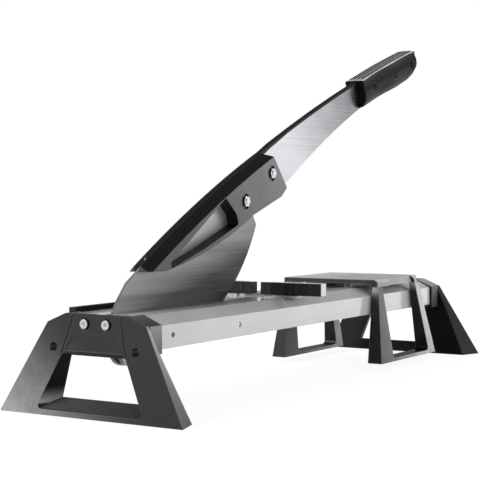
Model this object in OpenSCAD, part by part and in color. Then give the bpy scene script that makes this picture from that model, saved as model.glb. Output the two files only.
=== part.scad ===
// Lever guillotine for laminate and vinyl planks.
// Two aluminium rails stand on two moulded feet. A long lever carries a curved blade that
// swings down through the slot between the rails, past a fixed counter blade.
// Stations are distances along the cutter from the outer sole edge of the front foot.
// The part's own origin is the middle of the front foot's sole, +X towards the rear foot,
// +Y to the left as seen from the front foot, +Z up.

/* [Overall] */
// Length over both feet, measured on the floor
overall_length = 640; // [600:5:720]
// Height of the work table above the floor
table_height = 91; // [89:1:96]

/* [Rails] */
// Width over both rails
beam_width = 106; // [104:1:116]
// Width of the level middle of the table
beam_flat_width = 72; // [70:1:76]
// Height of the upright outer side of a rail
beam_side_height = 21; // [19:1:23]
// Drop of the table's sloping edge from the level middle to the side
beam_edge_drop = 8.5; // [7:0.5:10]
// Wall of the rail profile
rail_wall = 2.5; // [2:0.1:3]
// Distance between the floor end of the rails and the front face of a foot
beam_inset = 19; // [18.5:0.5:21]

/* [Feet] */
// Width of a foot on the floor
foot_width = 206; // [196:2:220]
// Depth of a foot on the floor
foot_depth = 27; // [25:1:30]
// How far the front face leans back per unit of height
foot_lean_share = 0.157; // [0.14:0.001:0.165]
// How far each side draws in from the front face to the back, on the floor
foot_draw_in = 9; // [7:0.5:11]
// Depth of the leg where it meets the sleeve
foot_leg_top_station = 19; // [18.5:0.5:21]
// Height of the sleeve's lower edge
foot_sleeve_base = 58; // [56:0.5:59]
// Length of the sleeve that holds the rails, from the front face
foot_sleeve_station = 36; // [34:1:40]
// Wall of the sleeve beside the rails
foot_sleeve_wall = 3; // [2.5:0.1:3.5]
// Rise of the crown above the work table
foot_crown_rise = 1; // [0.6:0.1:1.4]
// Lower front edge of the carrying window
window_base = 5; // [4:0.5:7]
// Upper edge of the carrying window
window_top = 56.5; // [55:0.5:57]
// Width of the window at its upper edge
window_top_width = 71; // [66:1:74]
// Width of the window at its lower edge
window_base_width = 121; // [112:1:124]
// Corner radius of the window
window_corner = 4; // [3:0.5:5]
// Rise of the lower bar towards the back
lower_bar_rise = 9; // [6:0.5:10]
// Bore of the two hanging holes
foot_hole_bore = 8.8; // [7:0.2:9.4]
// Distance between the two hanging holes
foot_hole_pitch = 93; // [91:0.5:94]
// Height of the hanging holes
foot_hole_height = 61; // [60:0.5:62]

/* [Lever] */
// Distance from the hinge pin to the blade's tip
blade_reach = 247; // [240:1:252]
// Thickness of the blade
blade_thickness = 3; // [2.5:0.1:3.2]
// Thickness of the lever bar
bar_thickness = 6; // [5.6:0.1:6.4]
// Station of the hinge pin
pivot_station = 55; // [54:0.5:56]
// Depth of the hinge pin below the work table
pivot_drop = 30; // [29.5:0.5:30.5]
// Diameter of the hinge pin's shoulder
pivot_diameter = 10; // [9:0.5:10.5]
// Thickness of the windowed cheek on the right of the blade
right_cheek_thickness = 13.5; // [12:0.5:16]
// Thickness of the cheek on the left of the lever bar
left_cheek_thickness = 7; // [6:0.5:9]
// Height of the bevel along the holder's back
holder_bevel = 5.5; // [4:0.5:6.5]
// Width of the ridge that is left between the bevels
holder_ridge_width = 8; // [7:0.5:9]
// Length of the handle
handle_length = 160; // [150:1:175]
// Width of the handle
handle_width = 28; // [26:0.5:32]
// Slope of the handle against the floor
handle_slope = 18.5; // [17:0.1:20]

/* [Fence] */
// Station of the fence's front face, which the swivel turns about
fence_station = 280; // [278:1:284]
// Length of the fence from end to end
fence_length = 155; // [145:1:165]
// Height of the fence rails
fence_height = 13; // [11:0.5:13]
// Depth of the fence rails
fence_depth = 12; // [10:0.5:12.5]
// Gap that lets the blade through the fence
fence_gap = 9; // [8.5:0.5:12]
// Thickness of the fence's base plate
fence_plate = 2.2; // [1.8:0.1:2.2]

/* [Support] */
// Distance from the front edge of the support's top back to the end of the cutter
support_setback = 200; // [194:1:208]
// Length of the support's top
support_length = 113; // [106:1:118]
// How far the support's top reaches past the rails on either side
support_overhang = 9; // [8:0.5:11]
// Height of the support's top above the work table
support_rise = 10; // [9:0.5:12]
// How far the legs' soles reach past the top on either side
support_flare = 10; // [7:0.5:14]
// Height of the legs' soles above the floor
support_ground_gap = 6.5; // [5:0.5:8]

/* [Hidden] */
$fn = 48;
overrun = 1;
fit_gap = 0.05;
slide_gap = 0.3;
arc_facets = 720;
support_station = overall_length - support_setback;
support_width = beam_width + 2 * support_overhang;
support_spread = support_width + 2 * support_flare;

// Colours
moulding = "#2b2c2e";
aluminium = "#c9cbcd";
steel = "#8d8f92";
zinc = "#d5d7d9";
rubber = "#1b1b1c";
bronze = "#a98a52";

// Rails and table
beam_half = beam_width / 2;
flat_half = beam_flat_width / 2;
pivot_height = table_height - pivot_drop;
side_top = table_height - beam_edge_drop;
side_base = side_top - beam_side_height;
rail_length = overall_length - 2 * beam_inset;
blade_offset = 0.5;
blade_side = -blade_offset - blade_thickness;
blade_middle = blade_side + blade_thickness / 2;
washer_thickness = 1;
washer_play = 0.1;
cheek_thickness = 4;
cheek_inner = blade_thickness / 2 + washer_thickness + washer_play;
cheek_outer = cheek_inner + cheek_thickness;
shear_gap = 0.15;
slot_left_gap = 1.5;
web_drop = 22.1;
web_base = table_height - web_drop;
table_wall = 3;
screw_port_offset = 12.2;
screw_port_drop = 7.8;
screw_port_height = table_height - screw_port_drop;
screw_port_radius = 3.5;
side_hole_diameter = 5.2;
side_hole_drop = 9.6;
side_hole_height = side_top - side_hole_drop;
access_offsets = [-18, 2.3];
access_stations = [for (o = access_offsets) pivot_station + o];
side_hole_offset = 113.5;
side_hole_stations = concat(access_stations, [pivot_station + side_hole_offset]);
tie_width = 24;
tie_thickness = 3;
tie_offset = 65;

// Counter blade
counter_width = 12;
counter_thickness = 4;
counter_right = blade_side - shear_gap;
counter_inset = 16;
counter_setback = 100;
counter_start = beam_inset + counter_inset;
counter_end = overall_length - counter_setback;
counter_length = counter_end - counter_start;
counter_screw_inset = 17;
counter_screw_count = 8;
counter_screw_length = 4;
counter_screw_pitch = (counter_end - counter_start - 2 * counter_screw_inset) / (counter_screw_count - 1);

// M4 and M5 socket screws
m4_shank = 4;
m4_head = 7;
m4_head_height = 2.6;
m4_socket = 3;
m5_shank = 5;
m5_head = 8.5;
m5_head_height = 5;
m5_socket = 4;
m6_shank = 6;
m6_flats = 10;
m6_nut_height = 5;
m6_head_height = 4;
m8_flats = 13;

// Feet
crown_height = table_height + foot_crown_rise;
shoulder_half = beam_half + foot_sleeve_wall;
shoulder_rise = 1;
shoulder_height = side_top + shoulder_rise;
crown_half = flat_half;
foot_half = foot_width / 2;
foot_lean_angle = atan(foot_lean_share);
foot_draw_angle = atan(foot_draw_in / foot_depth);
counterbore_diameter = 11;
counterbore_depth = 2.5;
foot_screw_length = 22;
crown_wall = 2.2;
blade_slot_station = foot_lean_share * table_height + crown_wall;
blade_slot_width = 8;
groove_width = 1.8;
groove_depth = 1.4;
groove_top_half = 26;
panel_base_half = window_top_width / 2;
plate_top_half = 24.5;
plate_base_half = 33.5;
plate_top = 75;
plate_base = 59.5;
plate_depth = 0.8;
lip_radius = 3.4;
lip_rise = 1.6;
lip_height = window_top + lip_rise;
bar_groove_count = 6;
bar_groove_width = 1.4;
pad_length = 20;
pad_width = 14;
pad_thickness = 3;
pad_inset = 12;
pad_front = 5;

// Lever outline, from the hinge pin, as shares of the blade's reach
tip_share = [0.904, 0.430];
edge_foot_share = [0.150, -0.017];
edge_bulge_share = 0.135;
blade_outline_shares = [
    [0.200, -0.060], [0.900, -0.060], [0.940, 0.407], [0.901, 0.432], [0.875, 0.472], [0.862, 0.560],
    [0.846, 0.640], [0.846, 0.800], [0.120, 0.380], [0.085, 0.302], [0.058, 0.270], [0.026, 0.254],
    [0.005, 0.235], [-0.056, 0.167], [-0.082, 0.131], [-0.085, 0.090], [-0.065, 0.010]
];
heel_shares = [[0.000, -0.050], [0.028, -0.061], [0.150, -0.017], [0.200, 0.030], [0.100, 0.080], [0.000, 0.050]];
crest_start_share = [0.105, 0.306];
crest_end_share = [0.992, 0.7535];
crest_bulge_share = 0.0184;
bar_top_start_share = [0.992, 0.7595];
bar_top_end_share = [1.857, 1.105];
bar_top_bulge_share = 0.0085;
bar_low_start_share = [1.164, 0.613];
bar_low_end_share = [1.857, 0.972];
bar_low_bulge_share = 0.0138;
holder_nose_share = [0.072, 0.268];
holder_low_start_share = [0.174, 0.268];
holder_low_end_share = [0.796, 0.470];
holder_low_bulge_share = 0.0232;
holder_arm_shares = [[0.072, 0.268], [0.174, 0.268], [0.400, 0.200], [0.796, 0.400], [0.860, 0.750], [0.110, 0.450]];
holder_block_shares = [[0.760, 0.459], [1.024, 0.547], [1.070, 0.585], [0.958, 0.722], [0.760, 0.800]];
tongue_shares = [[0.130, 0.200], [0.600, 0.200], [0.850, 0.500], [1.000, 0.560], [1.164, 0.613],
                 [1.164, 0.850], [0.130, 0.850]];
bar_start_shares = [[1.000, 0.850], [1.000, 0.560], [1.164, 0.613], [1.400, 0.600]];
tongue_cut_shares = [[-0.1, 0], [0.900, 0.440], [0.885, 0.466], [0.866, 0.565], [0.850, 0.85], [-0.1, 0.85]];
holder_window_shares = [[0.190, 0.289], [0.213, 0.277], [0.430, 0.342], [0.682, 0.434], [0.667, 0.474], [0.587, 0.543]];
bolt_shares = [[0.737, 0.528], [0.947, 0.646]];
holder_face_end_share = [0.150, 0.270];
holder_nose_draw = 23;
nose_tilt = 41;
boss_radius = 17;
washer_rim = 3;
cheek_lug_radius = 19;
cheek_start = 10;
cheek_tail_rise = 10;
pin_head_height = 5.5;
pin_thread = 8;
pin_tail = 9;
pin_nut_height = 6.5;
bush_wall = 1.5;
crest_cover = 3;
crest_inset = 0.6;
bolt_recess_diameter = 16;
bolt_recess_depth = 3;
window_round = 3;
bevel_run_angle = 2;

// Handle, in its own frame: along the handle, and square to it
handle_origin_share = [1.834, 1.036];
handle_top = 17;
handle_skew = 9;
handle_low_shares = [[0.120, -0.72], [0.390, -0.83], [0.600, -1.00], [0.800, -0.95], [0.900, -0.80]];
handle_front_low_share = -0.78;
handle_end_shares = [[0.970, -0.45], [1.000, 0.15], [0.985, 0.80], [0.955, 1.00]];
handle_edge_round = 5;
tang_share = 0.9;
tang_height = 20;
handle_collar = 4;
handle_crown_share = 0.35;
handle_pad_start_share = 0.07;
handle_pad_share = 0.86;
handle_pad_height = 2.6;
handle_pad_width = 21;
handle_rib_count = 22;
handle_rib_depth = 0.9;
handle_rib_share = 0.45;
handle_screw_shares = [[0.19, 0.02], [0.54, 0.02], [0.87, 0.02]];

// Fence
strip_thickness = 1.6;
rib_depth = 0.7;
rib_width = 2.2;
rib_pitch = 22;
rib_start = 13.5;
rib_count = 3;
plate_front = 4;
plate_radius = 52;
plate_hole_radius = 22;
guide_radius = 44;
guide_play = 1;
guide_screw_angle = 22;
guide_slot_angle = 68;
rivet_diameter = 4;
rivet_grip = 6;
rivet_offset = 30;
rivet_far_offset = 46;

// Edge strip on the left rail
strip_inset = 3;
strip_width = 8;
strip_height = 4;
strip_length = 178;
strip_outer = beam_half - strip_inset;
strip_start = foot_sleeve_station + slide_gap;

// Support
support_top_height = table_height + support_rise;
support_wall = 5;
skirt_height = 8.5;
skirt_round = 5;
corner_round = 8;
leg_top_inset = 6.5;
leg_lean = 12;
leg_tail = 26;
leg_sole_width = 17.5;
leg_window_base = 4;
leg_post_front_top = 9;
leg_post_front_sole = 32;
leg_post_rear_top = 12;
leg_post_rear_sole = 18;
leg_inner_gap = 1.5;
leg_window_round = 4;
arch_start = 33;
arch_end = 11;
arch_round = 11;
arch_depth = 4.5;
runner_width = 8;
runner_offset = 26;
top_slot_length = 26;
top_slot_width = 7;
top_slot_pitch = 26;

// Rotates a point about the origin
function turned(p, angle) = [p[0] * cos(angle) - p[1] * sin(angle), p[0] * sin(angle) + p[1] * cos(angle)];

// Unit vector from a to b
function heading(a, b) = (b - a) / norm(b - a);

// Radius of the arc over a chord, from the chord and its rise
function arc_radius(a, b, rise) = (pow(norm(b - a) / 2, 2) + rise * rise) / (2 * rise);

// Centre of that arc; a positive rise bulges to the left of the way from a to b
function arc_centre(a, b, rise) = (a + b) / 2
    + turned(heading(a, b), 90) * (rise - arc_radius(a, b, rise));

// Full disc whose rim is that arc; what lies beyond the arc is cut off by meeting the disc
module arc_disc(a, b, rise) {
    translate(arc_centre(a, b, rise)) circle(r = arc_radius(a, b, rise), $fn = arc_facets);
}

// Puts a station frame into the part's own frame
module place() { translate([-foot_depth / 2, 0, 0]) children(); }

// Extrudes an outline of stations and heights across the cutter, from y_low to y_high
module across(y_low, y_high) {
    translate([0, y_high, 0]) rotate([90, 0, 0]) linear_extrude(y_high - y_low) children();
}

// Extrudes an outline of widths and heights along the cutter, from x_low to x_high
module along(x_low, x_high) {
    translate([x_low, 0, 0]) rotate([90, 0, 90]) linear_extrude(x_high - x_low) children();
}

// A bar across the cutter on a station and a height
module cross_rod(x, z, y_low, y_high, d) {
    translate([x, y_high, z]) rotate([90, 0, 0]) cylinder(d = d, h = y_high - y_low);
}

// Convex polygon with every corner rounded by a true arc
module rounded_polygon(points, radius) {
    n = len(points);
    function corner(i) = let (
        c = points[i],
        u = heading(c, points[(i + n - 1) % n]),
        v = heading(c, points[(i + 1) % n]),
        half = acos(u * v) / 2
    ) [c + u * radius / tan(half), c + v * radius / tan(half),
       c + (u + v) / norm(u + v) * radius / sin(half)];
    polygon([for (i = [0 : n - 1]) each [corner(i)[0], corner(i)[1]]]);
    for (i = [0 : n - 1]) translate(corner(i)[2]) circle(r = radius);
}

// Rectangle of stations and heights with rounded corners
module rounded_box_outline(x_low, x_high, z_low, z_high, radius) {
    rounded_polygon([[x_low, z_low], [x_high, z_low], [x_high, z_high], [x_low, z_high]], radius);
}

// Socket screw along +Z: head from the origin upwards, shank below
module socket_screw(shank, head, head_height, socket, length) {
    difference() {
        union() {
            cylinder(d = head, h = head_height);
            translate([0, 0, -length]) cylinder(d = shank, h = length + head_height / 2);
        }
        translate([0, 0, head_height / 2]) cylinder(d = socket, h = head_height, $fn = 6);
    }
}

// Hexagonal nut along +Z with its bore
module hex_nut(flats, bore, height) {
    difference() {
        cylinder(d = flats / cos(30), h = height, $fn = 6);
        translate([0, 0, -overrun]) cylinder(d = bore, h = height + 2 * overrun);
    }
}

// Outline of both rails' outer skin, widths and heights
module beam_outline(grow) {
    polygon([
        [-beam_half - grow, side_base - grow], [beam_half + grow, side_base - grow],
        [beam_half + grow, side_top], [flat_half + grow, table_height + grow],
        [-flat_half - grow, table_height + grow], [-beam_half - grow, side_top]
    ]);
}

// Cuts everything beyond a foot's side, which draws in towards the back
module foot_side_cut() {
    a = turned([0, foot_half], foot_draw_angle)[1];
    b = turned([foot_lean_share * shoulder_height, shoulder_half], foot_draw_angle)[1];
    run = (a - b) / shoulder_height;
    top = shoulder_height + foot_half;
    rotate([0, 0, -foot_draw_angle])
        along(-foot_width, foot_width)
            polygon([[a + run * overrun, -overrun], [a + foot_width, -overrun],
                     [a + foot_width, top], [a - run * top, top]]);
}

// Half of the window cutter: its wall runs back along the foot's drawn-in side
module window_half() {
    f = foot_lean_share;
    base = turned([f * window_base, window_base_width / 2], foot_draw_angle)[1];
    top = turned([f * window_top, window_top_width / 2], foot_draw_angle)[1];
    rotate([0, 0, -foot_draw_angle])
        along(-foot_width, foot_width)
            rounded_polygon([[-foot_width, window_base], [base, window_base],
                             [top, window_top], [-foot_width, window_top]], window_corner);
}

// Draws on the leaning front face: widths across, heights along the face, depth inwards
module on_front_face() { rotate([0, foot_lean_angle, 0]) children(); }

// Front wall, legs and lower bar of a foot
module foot_frame() {
    difference() {
        across(-foot_half, foot_half)
            polygon([[0, 0], [foot_depth, 0], [foot_leg_top_station, foot_sleeve_base],
                     [foot_leg_top_station, crown_height], [foot_lean_share * crown_height, crown_height]]);
        foot_side_cut();
        mirror([0, 1, 0]) foot_side_cut();
        along(-overrun, foot_depth + overrun)
            for (s = [-1, 1])
                polygon([[s * crown_half, crown_height], [s * shoulder_half, shoulder_height],
                         [s * foot_half, shoulder_height], [s * foot_half, crown_height + overrun],
                         [s * crown_half, crown_height + overrun]]);
        intersection() {
            window_half();
            mirror([0, 1, 0]) window_half();
            across(-foot_half, foot_half) window_floor();
        }
        floor_grooves();
    }
    lip_station = foot_lean_share * lip_height + lip_radius * (1 - foot_lean_share);
    cross_rod(lip_station, lip_height, -plate_base_half, plate_base_half, 2 * lip_radius);
}

// Side view of the window's hollow: its floor rises towards the back
module window_floor() {
    front = foot_lean_share * window_base;
    slope = lower_bar_rise / (foot_depth - front);
    polygon([[front - foot_depth, window_base - slope * foot_depth],
             [2 * foot_depth, window_base + slope * (2 * foot_depth - front)],
             [2 * foot_depth, crown_height], [front - foot_depth, crown_height]]);
}

// Grip grooves across the window's floor
module floor_grooves() {
    front = foot_lean_share * window_base;
    half = window_base_width / 2 - foot_draw_in - window_corner;
    for (i = [1 : bar_groove_count])
        let (t = i / (bar_groove_count + 1))
            cross_rod(front + t * (foot_depth - front), window_base + t * lower_bar_rise + bar_groove_width / 4,
                      -half, half, bar_groove_width);
}

// Sleeve and ears that hold the rails' ends
module foot_sleeve() {
    difference() {
        along(foot_leg_top_station - overrun, foot_sleeve_station)
            polygon([[-shoulder_half, foot_sleeve_base], [shoulder_half, foot_sleeve_base],
                     [shoulder_half, shoulder_height], [crown_half, crown_height],
                     [-crown_half, crown_height], [-shoulder_half, shoulder_height]]);
        along(beam_inset, foot_sleeve_station + overrun) beam_outline(0);
        translate([beam_inset, -crown_half, side_top])
            cube([foot_sleeve_station, 2 * crown_half, beam_width]);
        translate([beam_inset, -flat_half, 0])
            cube([foot_sleeve_station, 2 * flat_half, side_top]);
    }
}

// Hanging holes and the two screwed bores on one side
module foot_bores(s) {
    translate([-overrun, s * foot_hole_pitch / 2, foot_hole_height])
        rotate([0, 90, 0]) cylinder(d = foot_hole_bore, h = foot_sleeve_station + 2 * overrun);
    translate([-overrun, s * screw_port_offset, screw_port_height])
        rotate([0, 90, 0]) cylinder(d = m5_shank + 2 * fit_gap, h = foot_sleeve_station);
    translate([-overrun, s * screw_port_offset, screw_port_height])
        rotate([0, 90, 0])
            cylinder(d = counterbore_diameter,
                     h = overrun + foot_lean_share * screw_port_height + counterbore_depth);
}

// Slanted groove beside the front panel
module foot_groove(s) {
    on_front_face() along(-groove_depth, groove_depth)
        polygon([[s * groove_top_half, crown_height + groove_top_half],
                 [s * groove_top_half, crown_height], [s * panel_base_half, window_top],
                 [s * (panel_base_half + groove_width), window_top],
                 [s * (groove_top_half + groove_width), crown_height],
                 [s * (groove_top_half + groove_width), crown_height + groove_top_half]]);
}

// Corner of a rubber pad's seat on one side
function pad_corner(s) = [pad_front, s * (foot_half - pad_inset) - (s + 1) / 2 * pad_length];

module foot() {
    difference() {
        union() {
            foot_frame();
            foot_sleeve();
        }
        for (s = [-1, 1]) foot_bores(s);
        for (s = [-1, 1]) foot_groove(s);
        for (s = [-1, 1])
            translate([pad_corner(s)[0], pad_corner(s)[1], -overrun])
                cube([pad_width, pad_length, pad_thickness + overrun]);
        on_front_face() along(-plate_depth, plate_depth)
            rounded_polygon([[-plate_base_half, plate_base], [plate_base_half, plate_base],
                             [plate_top_half, plate_top], [-plate_top_half, plate_top]], overrun);
        translate([blade_slot_station, blade_middle - blade_slot_width / 2, foot_sleeve_base])
            cube([foot_sleeve_station, blade_slot_width, table_height]);
    }
}

module foot_pads() {
    color(rubber)
        for (s = [-1, 1])
            translate([pad_corner(s)[0], pad_corner(s)[1], 0]) cube([pad_width, pad_length, pad_thickness]);
}

module foot_screws() {
    color(zinc)
        for (s = [-1, 1])
            translate([foot_lean_share * screw_port_height + counterbore_depth, s * screw_port_offset,
                       screw_port_height])
                rotate([0, -90, 0])
                    socket_screw(m5_shank, m5_head, m5_head_height, m5_socket, foot_screw_length);
}

// Moves a piece of the front foot to the rear foot
module rear() { translate([overall_length, 0, 0]) mirror([1, 0, 0]) children(); }

module front_foot() { color(moulding) place() foot(); }
module rear_foot() { color(moulding) place() rear() foot(); }
module front_foot_screws() { place() foot_screws(); }
module rear_foot_screws() { place() rear() foot_screws(); }
module front_foot_pads() { place() foot_pads(); }
module rear_foot_pads() { place() rear() foot_pads(); }

// Half profile of a rail on the +Y side: widths from lip to side, web at web_offset
module rail_profile(lip, web_offset) {
    polygon([
        [beam_half, side_base], [beam_half, side_top], [flat_half, table_height], [lip, table_height],
        [lip, table_height - table_wall], [web_offset, table_height - table_wall],
        [web_offset, web_base], [web_offset + rail_wall, web_base],
        [web_offset + rail_wall, table_height - table_wall],
        [flat_half - rail_wall / 4, table_height - table_wall],
        [beam_half - rail_wall, side_top - rail_wall / 2],
        [beam_half - rail_wall, side_base]
    ]);
    translate([screw_port_offset, screw_port_height]) circle(r = screw_port_radius);
    translate([screw_port_offset - rail_wall, screw_port_height])
        square([2 * rail_wall, screw_port_drop - table_wall / 2]);
}

// Bores that every rail has: screw ports at the ends and side holes
module rail_holes(side, web_offset) {
    for (x = [0, rail_length])
        translate([beam_inset + x - foot_screw_length, side * screw_port_offset, screw_port_height])
            rotate([0, 90, 0]) cylinder(d = m5_shank + 2 * fit_gap, h = 2 * foot_screw_length);
    for (x = side_hole_stations)
        cross_rod(x, side_hole_height, min(side * (beam_half + overrun), side * (beam_half - 2 * rail_wall)),
                  max(side * (beam_half + overrun), side * (beam_half - 2 * rail_wall)), side_hole_diameter);
    for (x = access_stations)
        cross_rod(x, side_hole_height,
                  min(side * (web_offset - overrun), side * (web_offset + rail_wall + overrun)),
                  max(side * (web_offset - overrun), side * (web_offset + rail_wall + overrun)),
                  m4_shank + 2 * fit_gap);
    guide_point = guide_radius * [cos(guide_screw_angle), side * sin(guide_screw_angle)];
    translate([fence_station + guide_point[0], blade_middle + guide_point[1], table_height - table_wall - overrun])
        cylinder(d = m4_shank + 2 * fit_gap, h = table_wall + 2 * overrun);
}

// Pocket of the counter blade, with the floor under it
module counter_pocket() {
    translate([counter_start, counter_right - counter_width, table_height - counter_thickness])
        cube([counter_end - counter_start, counter_width + rail_wall, counter_thickness + overrun]);
}

module right_rail() {
    web = cheek_outer - blade_middle;
    lip = -counter_right + shear_gap;
    color(aluminium) place() difference() {
        union() {
            mirror([0, 1, 0]) along(beam_inset, beam_inset + rail_length) rail_profile(lip, web);
            translate([counter_start - rail_wall, counter_right - counter_width - rail_wall,
                       table_height - counter_thickness - table_wall])
                cube([counter_end - counter_start + 2 * rail_wall,
                      counter_width + rail_wall - shear_gap, counter_thickness + table_wall - overrun]);
        }
        counter_pocket();
        rail_holes(-1, web);
        for (i = [0 : counter_screw_count - 1])
            translate([counter_start + counter_screw_inset + i * counter_screw_pitch,
                       counter_right - counter_width / 2, table_height - table_wall - 3 * counter_thickness])
                cylinder(d = m4_shank + 2 * fit_gap, h = 3 * counter_thickness + table_wall);
    }
}

module left_rail() {
    web = cheek_outer + blade_middle;
    lip = blade_middle + blade_thickness / 2 + slot_left_gap;
    color(aluminium) place() difference() {
        along(beam_inset, beam_inset + rail_length) rail_profile(lip, web);
        rail_holes(1, web);
    }
}

// Two flat ties that join the rails under the table, behind the blade's sweep
module rail_ties() {
    tie_stations = [fence_station + tie_offset, overall_length - foot_sleeve_station - 2 * tie_width];
    inner = beam_half - rail_wall;
    color(steel) place()
        for (x = tie_stations) {
            translate([x, -inner, side_base + rail_wall])
                cube([tie_width, 2 * inner, tie_thickness]);
            for (s = [-1, 1])
                translate([x, min(s * inner, s * (inner - tie_thickness)), side_base + rail_wall])
                    cube([tie_width, tie_thickness, beam_side_height - 2 * rail_wall]);
        }
}

module counter_blade() {
    color(steel) place() difference() {
        translate([counter_start, counter_right - counter_width, table_height - counter_thickness])
            cube([counter_end - counter_start, counter_width, counter_thickness]);
        for (i = [0 : counter_screw_count - 1])
            translate([counter_start + counter_screw_inset + i * counter_screw_pitch,
                       counter_right - counter_width / 2, table_height]) {
                translate([0, 0, -m4_head_height - fit_gap])
                    cylinder(d = m4_head + 4 * fit_gap, h = counter_thickness);
                translate([0, 0, -2 * counter_thickness])
                    cylinder(d = m4_shank + 2 * fit_gap, h = 3 * counter_thickness);
            }
    }
}

module counter_blade_screws() {
    color(zinc) place()
        for (i = [0 : counter_screw_count - 1])
            translate([counter_start + counter_screw_inset + i * counter_screw_pitch,
                       counter_right - counter_width / 2, table_height - m4_head_height - fit_gap])
                socket_screw(m4_shank, m4_head, m4_head_height, m4_socket, counter_screw_length);
}

// Soft strip along the left side of the table, where the plank rests
module edge_strip() {
    color(rubber) place()
        along(strip_start, strip_start + strip_length)
            polygon([
                [strip_outer - strip_width, table_height - beam_edge_drop
                    * (strip_outer - strip_width - flat_half) / (beam_half - flat_half)],
                [strip_outer, table_height - beam_edge_drop * (strip_outer - flat_half) / (beam_half - flat_half)],
                [strip_outer, table_height + strip_height],
                [strip_outer - strip_width, table_height + strip_height]
            ]);
}

// Outline of a hinge cheek: a plate under the table with a round lug about the pin
module cheek_outline() {
    top = table_height - counter_thickness - table_wall;
    translate([pivot_station, pivot_height]) circle(r = cheek_lug_radius);
    polygon([
        [beam_inset + cheek_start, side_base + rail_wall], [pivot_station - cheek_lug_radius, pivot_height],
        [pivot_station + cheek_lug_radius, pivot_height], [pivot_station + 2 * cheek_lug_radius, side_base + cheek_tail_rise],
        [pivot_station + 2 * cheek_lug_radius, top], [beam_inset + cheek_start, top]
    ]);
}

// Places a cheek on one side of the blade
module cheek(side) {
    low = blade_middle + (side > 0 ? cheek_inner : -cheek_outer);
    high = blade_middle + (side > 0 ? cheek_outer : -cheek_inner);
    difference() {
        across(low, high) cheek_outline();
        cross_rod(pivot_station, pivot_height, low - overrun, high + overrun, pivot_diameter + 2 * fit_gap);
        for (x = access_stations)
            cross_rod(x, side_hole_height, low - overrun, high + overrun, m4_shank + 2 * fit_gap);
    }
}

module right_cheek() { color(steel) place() cheek(-1); }
module left_cheek() { color(steel) place() cheek(1); }

module cheek_screws() {
    reach = cheek_thickness + rail_wall;
    color(zinc) place()
        for (x = access_stations, s = [-1, 1])
            translate([x, blade_middle + s * (cheek_outer + rail_wall), side_hole_height])
                rotate([-90 * s, 0, 0])
                    socket_screw(m4_shank, m4_head, m4_head_height, m4_socket, reach);
}

// Shoulder bolt through both cheeks, head on the right
module hinge_pin() {
    low = blade_middle - cheek_outer;
    high = blade_middle + cheek_outer;
    color(zinc) place() {
        cross_rod(pivot_station, pivot_height, low, high, pivot_diameter);
        cross_rod(pivot_station, pivot_height, high, high + pin_tail, pin_thread);
        translate([pivot_station, low, pivot_height]) rotate([90, 0, 0])
            cylinder(d = m8_flats / cos(30), h = pin_head_height, $fn = 6);
    }
}

module hinge_nut() {
    high = blade_middle + cheek_outer;
    color(zinc) place()
        translate([pivot_station, high + pin_nut_height, pivot_height]) rotate([90, 0, 0])
            hex_nut(m8_flats, pin_thread + 2 * fit_gap, pin_nut_height);
}

module thrust_washers() {
    color(bronze) place()
        for (s = [-1, 1])
            let (near = blade_middle + s * (cheek_inner - washer_thickness), far = blade_middle + s * cheek_inner)
                difference() {
                    cross_rod(pivot_station, pivot_height, min(near, far), max(near, far),
                              2 * (boss_radius - washer_rim));
                    cross_rod(pivot_station, pivot_height, min(near, far) - overrun, max(near, far) + overrun,
                              pivot_diameter + 2 * fit_gap);
                }
}

// Point of the lever, from its share of the reach, in stations and heights
function lever_point(share) = [pivot_station, pivot_height] + share * blade_reach;

// Disc of the crest, the line along the holder's back
module crest_disc() {
    arc_disc(lever_point(crest_start_share), lever_point(crest_end_share), crest_bulge_share * blade_reach);
}

// Curved blade: belly edge, blunt back, and the part hidden in the holder
module blade_outline() {
    pin = [pivot_station, pivot_height];
    difference() {
        union() {
            intersection() {
                polygon([for (s = blade_outline_shares) lever_point(s)]);
                arc_disc(lever_point(tip_share), lever_point(edge_foot_share), edge_bulge_share * blade_reach);
                translate([0, -crest_cover]) crest_disc();
            }
            polygon([for (s = heel_shares) lever_point(s)]);
            translate(pin) circle(r = boss_radius);
        }
        translate(pin) circle(d = pivot_diameter + 2 * bush_wall + 2 * fit_gap);
        translate(lever_point(bolt_shares[0])) circle(d = m6_shank + 2 * fit_gap);
    }
}

module blade() { color(steel) place() across(blade_side, blade_side + blade_thickness) blade_outline(); }

module blade_bush() {
    color(bronze) place() difference() {
        cross_rod(pivot_station, pivot_height, blade_side, blade_side + blade_thickness,
                  pivot_diameter + 2 * bush_wall);
        cross_rod(pivot_station, pivot_height, blade_side - overrun, blade_side + blade_thickness + overrun,
                  pivot_diameter + 2 * fit_gap);
    }
}

// Frame of the handle: origin on the collar, first axis along the handle
module on_handle() {
    o = lever_point(handle_origin_share);
    translate([o[0], 0, o[1]]) rotate([0, -handle_slope, 0]) children();
}
function handle_point(u, w) = lever_point(handle_origin_share) + turned([u, w], handle_slope);

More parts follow.
